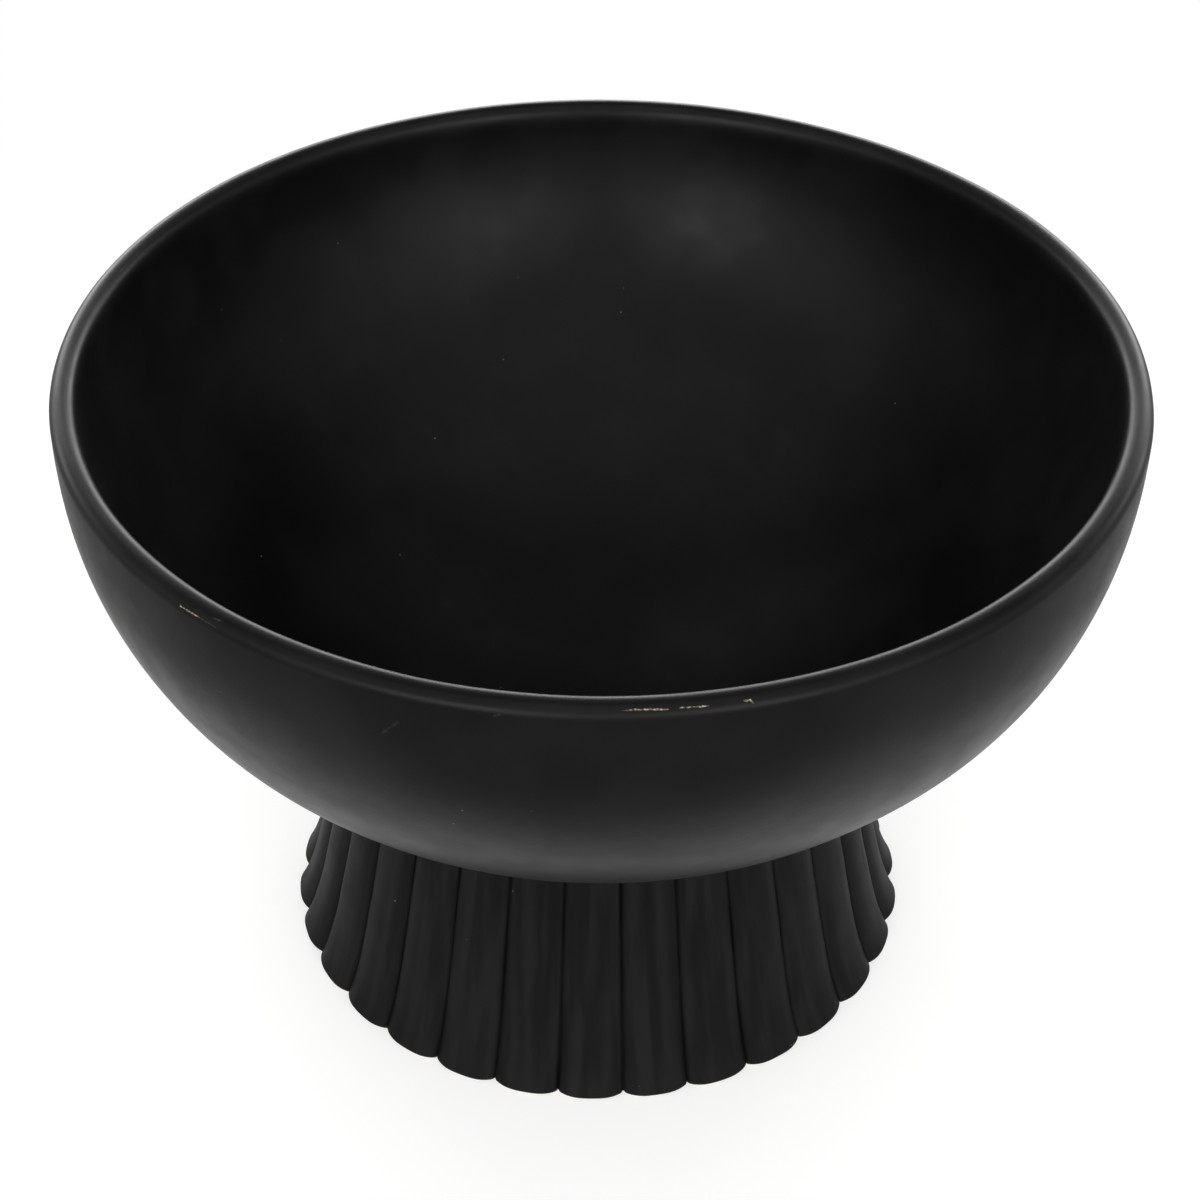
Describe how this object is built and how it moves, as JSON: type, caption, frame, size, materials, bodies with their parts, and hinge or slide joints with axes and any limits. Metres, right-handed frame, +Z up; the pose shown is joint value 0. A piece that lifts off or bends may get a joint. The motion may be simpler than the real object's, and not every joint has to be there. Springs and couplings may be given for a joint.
{
  "type": "footed bowl",
  "caption": "Deep round pottery bowl with a plain rounded lip on a hollow, flared foot of upright convex lobes, in satin black glaze.",
  "frame": {"origin": "on the table, below the middle of the bowl", "axes": "+Z up along the bowl's axis; the bowl is round, and +Y points away from the viewer of the picture"},
  "size_m": [0.28, 0.28, 0.185],
  "materials": {
    "bowl_glaze": "satin black glaze over a pale body, smooth, thin at the lip",
    "foot_glaze": "satin black glaze over a pale body, slightly duller than the bowl, bare clay under the foot",
    "joint_glaze": "slip wiped smooth and glazed over with the rest"
  },
  "bodies": {
    "root": {"bowl": "bowl_glaze", "fluted_foot": "foot_glaze", "slip_joint": "joint_glaze"}
  },
  "joints": []
}
